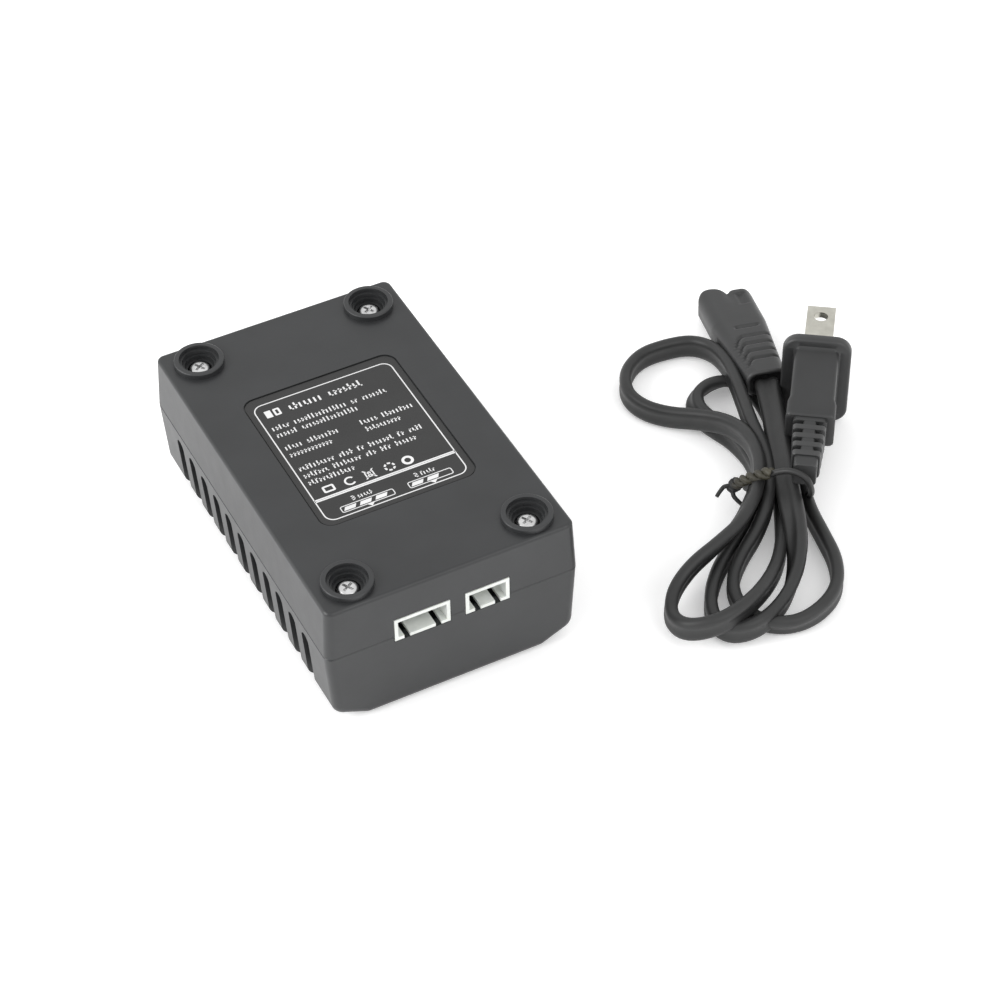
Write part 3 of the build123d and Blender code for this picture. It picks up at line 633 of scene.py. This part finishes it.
# ---------------------------------------------------------------- places on the lead
def lying_place(tip, yaw, pitch):
    """Gives the function that turns a place on a connector into a place in the scene.

    The place is in millimetres: to the connector's right, up, and back towards its cable.
    """
    yaw, pitch = math.radians(yaw), math.radians(pitch)
    back = Vector((-math.cos(yaw) * math.cos(pitch), -math.sin(yaw) * math.cos(pitch), math.sin(pitch)))
    right = Vector((math.sin(yaw), -math.cos(yaw), 0))
    up = back.cross(right)
    return lambda x, y, z: (Vector(tip) + right * x + up * y + back * z) * MM


on_connector = lying_place(tip=(107.0, 31.5, 3.7), yaw=76, pitch=7)
on_plug = lying_place(tip=(107.5, -8.4, 11.23), yaw=54.2, pitch=3.4)


# ---------------------------------------------------------------- appliance connector
CONNECTOR_LENGTH = 35.4
CONNECTOR_HALF_WIDTHS = [(0, 6.5), (14, 6.5), (21.5, 5.85), (30.4, 5.05), (CONNECTOR_LENGTH, 4.7)]
CONNECTOR_HALF_HEIGHT = 3.3
CONNECTOR_CORNER_R = 2.4
NOSE_EDGE = 1.1  # length of the rounded front edge
EDGE_RINGS = 6
BODY_RINGS = 164
NOTCH_X = 0.6
NOTCH_HALF_WIDTH = 0.9
LOBE_FRONT = -0.6
LOBE_DEPTH = 3.0
SQUARE_FRONT = 1.2
SQUARE_DEPTH = 1.6
GRIP_GROOVES = [21.0, 24.0, 27.0, 30.0]
STRAIGHT_GROOVE = 17.2
GROOVE_DEPTH = 0.62
GROOVE_HALF_WIDTH = 0.72
POCKET_DEPTH = 0.55
CONTACT_HOLE_X = 4.3 * 0.92
CONTACT_HOLE_R = 1.3
CONTACT_HOLE_POINTS = 32
CONTACT_HOLE_SPAN = (-3.0, 9.0)  # from in front of the nose to the bottom of the hole
REAR_HOLLOW = [(0.35, 0.25), (0.8, 0.3), (1.0, -1.2)]  # inset, distance behind the end


def nose_front(x):
    """Front edge seen from above: a round lobe on the left, a squarer one on the right, a notch between.

    Gives how far the edge stands back, in millimetres.
    """
    half = CONNECTOR_HALF_WIDTHS[0][1]
    if x < NOTCH_X:
        radius = (half + NOTCH_X) / 2
        off = min(radius, abs(x - (NOTCH_X - radius)))
        return LOBE_FRONT + min(LOBE_DEPTH, radius - math.sqrt(radius * radius - off * off))
    share = abs(2 * (x - NOTCH_X) / (half - NOTCH_X) - 1)
    return SQUARE_FRONT + SQUARE_DEPTH * share**5


def groove(distance):
    """Depth of a rounded groove, 1 at its middle and 0 at its edges."""
    if abs(distance) >= GROOVE_HALF_WIDTH:
        return 0.0
    return 0.5 + 0.5 * math.cos(math.pi * distance / GROOVE_HALF_WIDTH)


def connector_dent(x, z):
    """How far the broad faces are pressed in: grip grooves, one straight groove, a shallow pocket."""
    dent = 0.0
    half = between(z, CONNECTOR_HALF_WIDTHS)
    bend = 0.5 * max(0.0, -1.0 - x) ** 2
    reach = soft_step(x, -half + 1.2, -half + 2.0) * (1 - soft_step(x, half - 0.5, half))
    for start in GRIP_GROOVES:
        dent = max(dent, groove(z - start - bend) * reach)
    straight = soft_step(x, -1.9, -1.5) * (1 - soft_step(x, 3.3, 3.7))
    dent = max(dent, groove(z - STRAIGHT_GROOVE) * straight)
    pocket = soft_step(x, 2.3, 2.8) * (1 - soft_step(x, 3.9, 4.4)) * soft_step(z, 3.2, 3.8)
    pocket *= 1 - soft_step(z, 7.6, 8.4)
    return dent * GROOVE_DEPTH + pocket * POCKET_DEPTH


def connector_outline(half_width, half_height, radius):
    return rounded_outline(half_width, half_height, radius, arc=8, side=16)


def connector_ring(z_flat):
    """The connector's outline at a distance from its front, pushed back into the nose's shape."""
    ring = []
    half = between(z_flat, CONNECTOR_HALF_WIDTHS)
    shrink = 1.0
    if z_flat < NOSE_EDGE:
        shrink = 0.62 + 0.38 * math.sqrt(max(0.0, 1 - (1 - z_flat / NOSE_EDGE) ** 2))
    for x, y in connector_outline(half, CONNECTOR_HALF_HEIGHT, CONNECTOR_CORNER_R):
        z = z_flat + nose_front(x) * (1 - soft_step(z_flat, 6, 12))
        waist = 1 - 0.09 * math.exp(-(((x - NOTCH_X) / NOTCH_HALF_WIDTH) ** 2)) * (1 - soft_step(z, 3, 8))
        broad = soft_step(abs(y), CONNECTOR_HALF_HEIGHT * 0.6, CONNECTOR_HALF_HEIGHT * 0.95)
        y_out = y * shrink * waist - math.copysign(connector_dent(x, z) * broad, y)
        x_out = x * (1 - (1 - shrink) * 0.25)
        ring.append(on_connector(x_out, y_out, z))
    return ring


def contact_hole(side):
    """A round cutter for one of the two holes in the nose."""
    circle = []
    for k in range(CONTACT_HOLE_POINTS):
        angle = 2 * math.pi * k / CONTACT_HOLE_POINTS
        x = side * CONTACT_HOLE_X + CONTACT_HOLE_R * math.cos(angle)
        circle.append((x, CONTACT_HOLE_R * math.sin(angle)))
    rings = [[on_connector(x, y, z) for x, y in circle] for z in CONTACT_HOLE_SPAN]
    cutter = bpy.data.objects.new("hole", mesh_from("hole", *skin_rings(rings)))
    bpy.context.scene.collection.objects.link(cutter)
    return cutter


def make_connector(materials):
    rings = []
    for i in range(EDGE_RINGS):
        rings.append(connector_ring(NOSE_EDGE * i / EDGE_RINGS))
    for i in range(BODY_RINGS + 1):
        rings.append(connector_ring(NOSE_EDGE + (CONNECTOR_LENGTH - NOSE_EDGE) * i / BODY_RINGS))
    # a shallow hollow round the cable at the rear
    base = between(CONNECTOR_LENGTH, CONNECTOR_HALF_WIDTHS)
    for inset, depth in REAR_HOLLOW:
        corner = CONNECTOR_CORNER_R - inset * 0.8
        outline = connector_outline(base - inset, CONNECTOR_HALF_HEIGHT - inset, corner)
        rings.append([on_connector(x, y, CONNECTOR_LENGTH + depth) for x, y in outline])
    mesh = mesh_from("connector_body", *skin_rings(rings))
    body = add_object("connector_body", mesh, materials["lead_plastic"], "power_lead")
    cut_with(body, [contact_hole(-1), contact_hole(1)])
    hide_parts("lead_connector")


# ---------------------------------------------------------------- mains plug
FLANGE_HALF_WIDTH = 7.6
FLANGE_HALF_HEIGHT = 11.2
FLANGE_CORNER_R = 3.6
FLANGE_DEPTH = 2.6
# distance from the face, then how far the outline is drawn in there
FLANGE_EDGE = [(0.0, 0.6), (0.1, 0.3), (0.3, 0.1), (0.6, 0.0), (2.0, 0.0), (2.3, 0.1), (2.5, 0.3), (2.6, 0.6)]
GRIP_START = FLANGE_DEPTH + 0.35
GRIP_END = 20.0
GRIP_RINGS = 30
GRIP_HALF_WIDTH = 4.85
GRIP_SPREAD = 0.1
GRIP_HALF_HEIGHT = 9.1
GRIP_TAPER = 4.9
SHOULDER = 0.42
SHOULDER_START = 14.6
SHOULDER_END = 16.2
RELIEF_END = 32.2
RELIEF_HALF_WIDTHS = [(GRIP_END, 3.75), (RELIEF_END, 3.05)]
RELIEF_HALF_HEIGHTS = [(GRIP_END, 3.8), (RELIEF_END, 3.3)]
RELIEF_SLOTS = 4
FIRST_SLOT = 1.2
SLOT_PITCH = 2.75
SLOT_LENGTH = 1.25
SPINE_HALF_WIDTH = 1.45
SLEEVE_END = 35.2


def make_plug(materials):
    rings = []

    def ring(z, half_width, half_height, radius):
        outline = rounded_outline(half_width, half_height, radius, arc=8, side=5)
        rings.append([on_plug(x, y, z) for x, y in outline])

    for z, inset in FLANGE_EDGE:
        ring(z, FLANGE_HALF_WIDTH - inset, FLANGE_HALF_HEIGHT - inset, FLANGE_CORNER_R - inset)
    # tapered grip, with a low shoulder near its end
    ring(FLANGE_DEPTH, 5.2, 9.5, 1.3)
    ring(GRIP_START, GRIP_HALF_WIDTH, GRIP_HALF_HEIGHT, 1.2)
    for i in range(1, GRIP_RINGS):
        share = i / GRIP_RINGS
        z = GRIP_START + (GRIP_END - GRIP_START) * share
        shoulder = SHOULDER * soft_step(z, SHOULDER_START, SHOULDER_END)
        width = GRIP_HALF_WIDTH + GRIP_SPREAD * share + shoulder
        ring(z, width, GRIP_HALF_HEIGHT - GRIP_TAPER * share, 1.2)
    ring(GRIP_END - 0.25, 5.4, 4.2, 1.2)
    ring(GRIP_END, 5.0, 3.9, 1.0)
    # strain relief: ribs on both sides of a spine
    ring(GRIP_END, 3.7, 3.75, 0.9)
    for k in range(RELIEF_SLOTS):
        start = GRIP_END + FIRST_SLOT + SLOT_PITCH * k
        full = between(start, RELIEF_HALF_WIDTHS)
        tall = between(start, RELIEF_HALF_HEIGHTS)
        ring(start - 0.12, full, tall, 0.9)
        ring(start, full - 0.15, tall - 0.12, 0.85)
        ring(start + 0.02, SPINE_HALF_WIDTH, tall - 0.12, 0.5)
        ring(start + SLOT_LENGTH - 0.02, SPINE_HALF_WIDTH, tall - 0.14, 0.5)
        ring(start + SLOT_LENGTH, full - 0.2, tall - 0.14, 0.85)
        ring(start + SLOT_LENGTH + 0.12, full - 0.05, tall - 0.04, 0.9)
    ring(RELIEF_END - 0.2, 3.05, 3.3, 0.9)
    ring(RELIEF_END, 2.85, 3.15, 0.8)
    # plain sleeve, closed at its end
    ring(RELIEF_END, 2.6, 2.9, 0.8)
    ring(SLEEVE_END - 0.2, 2.5, 2.8, 0.8)
    ring(SLEEVE_END, 2.3, 2.6, 0.7)
    mesh = mesh_from("plug_body", *skin_rings(rings))
    plastic = materials["lead_plastic"]
    body = add_object("plug_body", mesh, plastic, "power_lead", smooth=False)
    smooth_by_angle(body)
    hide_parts("mains_plug")
    return body


# ---------------------------------------------------------------- twist tie
# Routes in millimetres: the band round the bundle, its twisted tail, and the two loose wire ends.
TIE_BAND = [
    (78.6, -27.2, 5.2),
    (78.3, -30.0, 9.6),
    (80.0, -32.6, 12.6),
    (82.6, -34.4, 14.4),
    (84.4, -36.4, 15.2),
    (86.2, -39.0, 14.6),
    (87.4, -39.4, 11.0),
    (89.6, -36.0, 5.0),
    (89.6, -29.6, 1.2),
    (85.6, -26.4, 0.7),
    (80.6, -25.2, 1.8),
    (78.6, -27.2, 5.2),
]
TIE_TAIL = [
    (80.9, -33.2, 13.9),
    (79.3, -31.6, 12.3),
    (77.9, -30.2, 11.0),
    (76.8, -28.6, 9.3),
    (76.2, -26.8, 6.8),
]
TIE_ENDS = [
    [(75.6, -26.4, 6.4), (74.3, -25.6, 6.4), (73.2, -25.7, 5.7), (71.7, -26.5, 5.0)],
    [(75.8, -26.6, 5.8), (75.0, -27.4, 5.2), (75.3, -28.8, 4.3), (76.4, -30.4, 3.2)],
]
BAND_R = 0.72
TAIL_STRAND_R = 0.78
TAIL_TAPER = 0.1
TAIL_WIND_R = 0.62
TAIL_TURNS = 2.6
END_R = 0.52
END_TAPER = 0.08
# each strand of the knot: how far out it winds, turns, start of the first turn, its own radius
KNOT_STRANDS = [(0.85, 1.9, 0.2, 0.74), (0.55, -1.3, 0.7, 0.80)]


def make_tie(materials):
    band_line = resample(follow_route(TIE_BAND, "tie_line"), 0.5 * MM)
    band = mesh_from("tie_band", *sweep(band_line, lambda s: BAND_R, 14))
    piece = add_object("tie_band", band, materials["tie_plastic"], "power_lead")
    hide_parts("twist_tie")
    tail = resample(follow_route(TIE_TAIL, "tail_line"), 0.15 * MM)
    strands = []
    for phase in (0, 0.5):
        winding = twisted_strand(tail, TAIL_WIND_R, TAIL_TURNS, phase)
        strands.append(sweep(winding, lambda s: TAIL_STRAND_R - TAIL_TAPER * s, 12, 0.05))
    twist = mesh_from("tie_twist", *join_shapes(strands))
    add_object("tie_twist", twist, materials["tie_twist"], "power_lead")
    # a knot at the end of the tail, with the two wire ends
    onward = (tail[-1] - tail[-8]).normalized()
    knot_line = [tail[-1] + onward * t * 0.1 * MM for t in range(-6, 16)]
    ends = []
    for wind_r, turns, phase, radius in KNOT_STRANDS:
        winding = twisted_strand(knot_line, wind_r, turns, phase)
        ends.append(sweep(winding, lambda s, r=radius: r, 12, 0.06))
    for index, route in enumerate(TIE_ENDS):
        line = resample(follow_route(route, f"end_line_{index}"), 0.2 * MM)
        ends.append(sweep(line, lambda s: END_R - END_TAPER * s, 10))
    wires = mesh_from("tie_ends", *join_shapes(ends))
    add_object("tie_ends", wires, materials["tie_plastic"], "power_lead")


# ---------------------------------------------------------------- printing on the label
PRINT_THICKNESS = 0.03
SEGMENTS = {"2": "abged", "3": "abgcd"}
ROW_HEIGHT = 1.45
# left end, base line, ticks in each word, seed of the pattern
PRINT_ROWS = [
    (-14.7, 10.2, [5, 15, 2, 7], 17),
    (-14.7, 7.9, [6, 16], 29),
    (-14.7, 3.6, [5, 9], 41),
    (-14.7, 1.2, [12], 53),
    (2.4, 3.4, [5, 9], 13),
    (2.6, 1.0, [10], 71),
    (-14.8, -3.5, [10, 4, 2, 7, 2, 4], 23),
    (-14.8, -5.9, [7, 8, 3, 3, 6], 31),
    (-14.8, -8.2, [13], 47),
]
MARK_ROW_Y = -10.8
ICON_BOTTOM = -18.75
ICON_TOP = -16.85
CELL_PITCH = 3.5
# sizes of the word-like marks, as shares of the row's height
TICK_WIDTH = 0.20
TICK_PITCH = 0.56
WORD_GAP = 0.66
LOW_TICK = 0.74
CROSSBAR = 0.16


class Print:
    """Thin printed shapes on the label's top face, in millimetres in the label's own plane."""

    def __init__(self, height):
        self.height = height
        self.shapes = []

    def polygon(self, outline):
        """A flat shape with straight sides."""
        low = [Vector((x * MM, y * MM, self.height)) for x, y in outline]
        high = [p + Vector((0, 0, PRINT_THICKNESS * MM)) for p in low]
        self.shapes.append(skin_rings([low, high]))

    def bar(self, x0, y0, x1, y1, lean=0.0):
        """A solid rectangle, or one whose top is moved sideways by lean."""
        self.polygon([(x0, y0), (x1, y0), (x1 + lean, y1), (x0 + lean, y1)])

    def frame(self, x0, y0, x1, y1, radius, line):
        """The outline of a rounded rectangle."""
        centre = ((x0 + x1) / 2, (y0 + y1) / 2)
        half = ((x1 - x0) / 2, (y1 - y0) / 2)
        rings = []
        for inset, lift in ((0, 0), (0, 1), (line, 1), (line, 0), (0, 0)):
            corner = max(0.05, radius - inset)
            outline = rounded_outline(half[0] - inset, half[1] - inset, corner, arc=6, side=2)
            z = self.height + lift * PRINT_THICKNESS * MM
            rings.append([Vector(((centre[0] + x) * MM, (centre[1] + y) * MM, z)) for x, y in outline])
        self.shapes.append(skin_rings(rings, closed_ends=False))

    def ring(self, x, y, radius, line, start=0, end=360):
        """A circle's line, whole or from one angle to another."""
        steps = max(8, int((end - start) / 12))
        for i in range(steps):
            corners = []
            for r, k in ((radius, i), (radius, i + 1), (radius - line, i + 1), (radius - line, i)):
                angle = math.radians(start + (end - start) * k / steps)
                corners.append((x + r * math.cos(angle), y + r * math.sin(angle)))
            self.polygon(corners)

    def words(self, x, y, height, lengths, seed):
        """A row of word-like marks: upright ticks of uneven height in groups, not lettering."""
        tick = height * TICK_WIDTH
        pitch = height * TICK_PITCH
        gap = height * WORD_GAP
        state = seed
        for count in lengths:
            for _ in range(count):
                state = (state * 37 + 11) % 101
                tall = height if state % 4 == 0 else height * LOW_TICK
                self.bar(x, y, x + tick, y + tall)
                if state % 3 != 1:
                    level = y + (tall - height * 0.2) * (state % 5) / 4
                    self.bar(x, level, x + pitch * 0.7, level + height * CROSSBAR)
                x += pitch
            x += gap

    def numeral(self, x, y, height, digit):
        """A plain numeral of straight bars."""
        wide, line = height * 0.56, height * 0.17
        mid = y + height / 2
        bars = {
            "a": (x, y + height - line, x + wide, y + height),
            "b": (x + wide - line, mid, x + wide, y + height),
            "c": (x + wide - line, y, x + wide, mid),
            "d": (x, y, x + wide, y + line),
            "e": (x, y, x + line, mid),
            "g": (x, mid - line / 2, x + wide, mid + line / 2),
        }
        for name in SEGMENTS[digit]:
            self.bar(*bars[name])


def cell_icon(sheet, x0, x1, cells, caption_x):
    """A socket's symbol: a rounded frame, a slanted bar for each cell, a pointer and a caption."""
    sheet.frame(x0, ICON_BOTTOM, x1, ICON_TOP, 0.5, 0.2)
    for i in range(cells):
        left = x0 + 0.5 + CELL_PITCH * i
        sheet.bar(left, ICON_BOTTOM + 0.45, left + CELL_PITCH * 0.72, ICON_TOP - 0.45, lean=0.6)
    middle = (x0 + x1) / 2 + 0.3
    sheet.polygon([(middle - 0.75, ICON_BOTTOM), (middle, ICON_BOTTOM - 0.75), (middle + 0.75, ICON_BOTTOM)])
    sheet.numeral(caption_x - 2.6, -16.25, 1.3, str(cells))
    sheet.words(caption_x - 1.2, -16.2, 1.2, [5], seed=cells * 7)


def plain_marks(sheet):
    """Five plain marks in a row: a frame, an open ring, a crossed frame, a dotted ring, a ring."""
    row = MARK_ROW_Y
    sheet.frame(-13.1, row - 1.0, -10.5, row + 1.0, 0.4, 0.45)
    sheet.ring(-7.0, row, 1.25, 0.4, 40, 320)
    cross_x, reach, inner = -2.6, 1.3, 0.9
    for lean in (-1, 1):
        sheet.polygon(
            [
                (cross_x - lean * reach, row - reach),
                (cross_x - lean * inner, row - reach),
                (cross_x + lean * reach, row + reach),
                (cross_x + lean * inner, row + reach),
            ]
        )
    sheet.frame(-3.6, row - 0.9, -1.6, row + 0.7, 0.2, 0.28)
    for start in range(0, 360, 60):
        sheet.ring(2.0, row, 1.25, 0.45, start, start + 38)
    sheet.ring(6.1, row, 1.3, 0.6)


def make_print(materials):
    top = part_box("label_plate")[1].z
    sheet = Print(top)
    sheet.frame(-16.1, -19.8, 16.0, 18.9, 2.2, 0.26)
    # the double line above the two socket symbols
    sheet.bar(-16.0, -13.5, 15.9, -13.15)
    sheet.bar(-16.0, -13.05, 15.9, -12.7)
    # two blocks and two larger words in place of the name
    sheet.bar(-14.2, 14.4, -12.8, 16.6)
    sheet.frame(-12.3, 14.4, -10.8, 16.6, 0.3, 0.45)
    sheet.words(-8.8, 14.5, 2.0, [7, 7], seed=5)
    for x, y, lengths, seed in PRINT_ROWS:
        sheet.words(x, y, ROW_HEIGHT, lengths, seed)
    plain_marks(sheet)
    cell_icon(sheet, -12.3, -0.3, 3, -6.3)
    cell_icon(sheet, 2.9, 12.9, 2, 7.9)
    mesh = mesh_from("label_print", *join_shapes(sheet.shapes))
    add_object("label_print", mesh, materials["print_white"], "charger", smooth=False)


# ---------------------------------------------------------------- stage and light
FLOOR_SIZE = 2.0
FLOOR_DROP = 0.2 * MM
FLOOR_GLOW = 0.24
WORLD_STRENGTH = 1.0
LIGHT_AIM = (0.03, 0, 0)


def make_stage():
    """A white floor that glows a little, which keeps shadows faint, under a white sky."""
    shape = bmesh.new()
    bmesh.ops.create_grid(shape, x_segments=1, y_segments=1, size=FLOOR_SIZE)
    mesh = bpy.data.meshes.new("floor")
    shape.to_mesh(mesh)
    shape.free()
    floor = bpy.data.objects.new("floor", mesh)
    bpy.context.scene.collection.objects.link(floor)
    floor.location = (0, 0, -FLOOR_DROP)
    n = Nodes("floor")
    n.surface(Base_Color=n.ramp(n.noise(3, 2), [(0.2, grey(0.93)), (0.8, grey(0.95))]))
    n.surface(Roughness=0.9, Specular_IOR_Level=0.1)
    n.surface(Emission_Color=(1, 1, 1, 1), Emission_Strength=FLOOR_GLOW)
    mesh.materials.append(n.material)

    world = bpy.data.worlds.new("world")
    bpy.context.scene.world = world
    world.use_nodes = True
    background = world.node_tree.nodes["Background"]
    background.inputs["Color"].default_value = (1, 1, 1, 1)
    background.inputs["Strength"].default_value = WORLD_STRENGTH


def add_light(name, place, aim, size, power):
    """A rectangular lamp that faces its aim."""
    data = bpy.data.lights.new(name, "AREA")
    data.shape = "RECTANGLE"
    data.size, data.size_y = size
    data.energy = power
    light = bpy.data.objects.new(name, data)
    bpy.context.scene.collection.objects.link(light)
    light.location = place
    light.rotation_euler = (Vector(aim) - Vector(place)).to_track_quat("-Z", "Y").to_euler()


make_camera()
materials = make_materials()
dress_frame(materials)
cable, cable_line, cable_centres = make_cable(materials)
make_connector(materials)
plug = make_plug(materials)
make_tie(materials)
make_print(materials)
make_stage()
add_light("key", (-0.9, 0.15, 0.55), LIGHT_AIM, size=(0.7, 0.7), power=8)
add_light("fill", (0.3, -0.9, 0.9), LIGHT_AIM, size=(0.8, 0.8), power=3)
bpy.context.scene.view_settings.view_transform = "Standard"
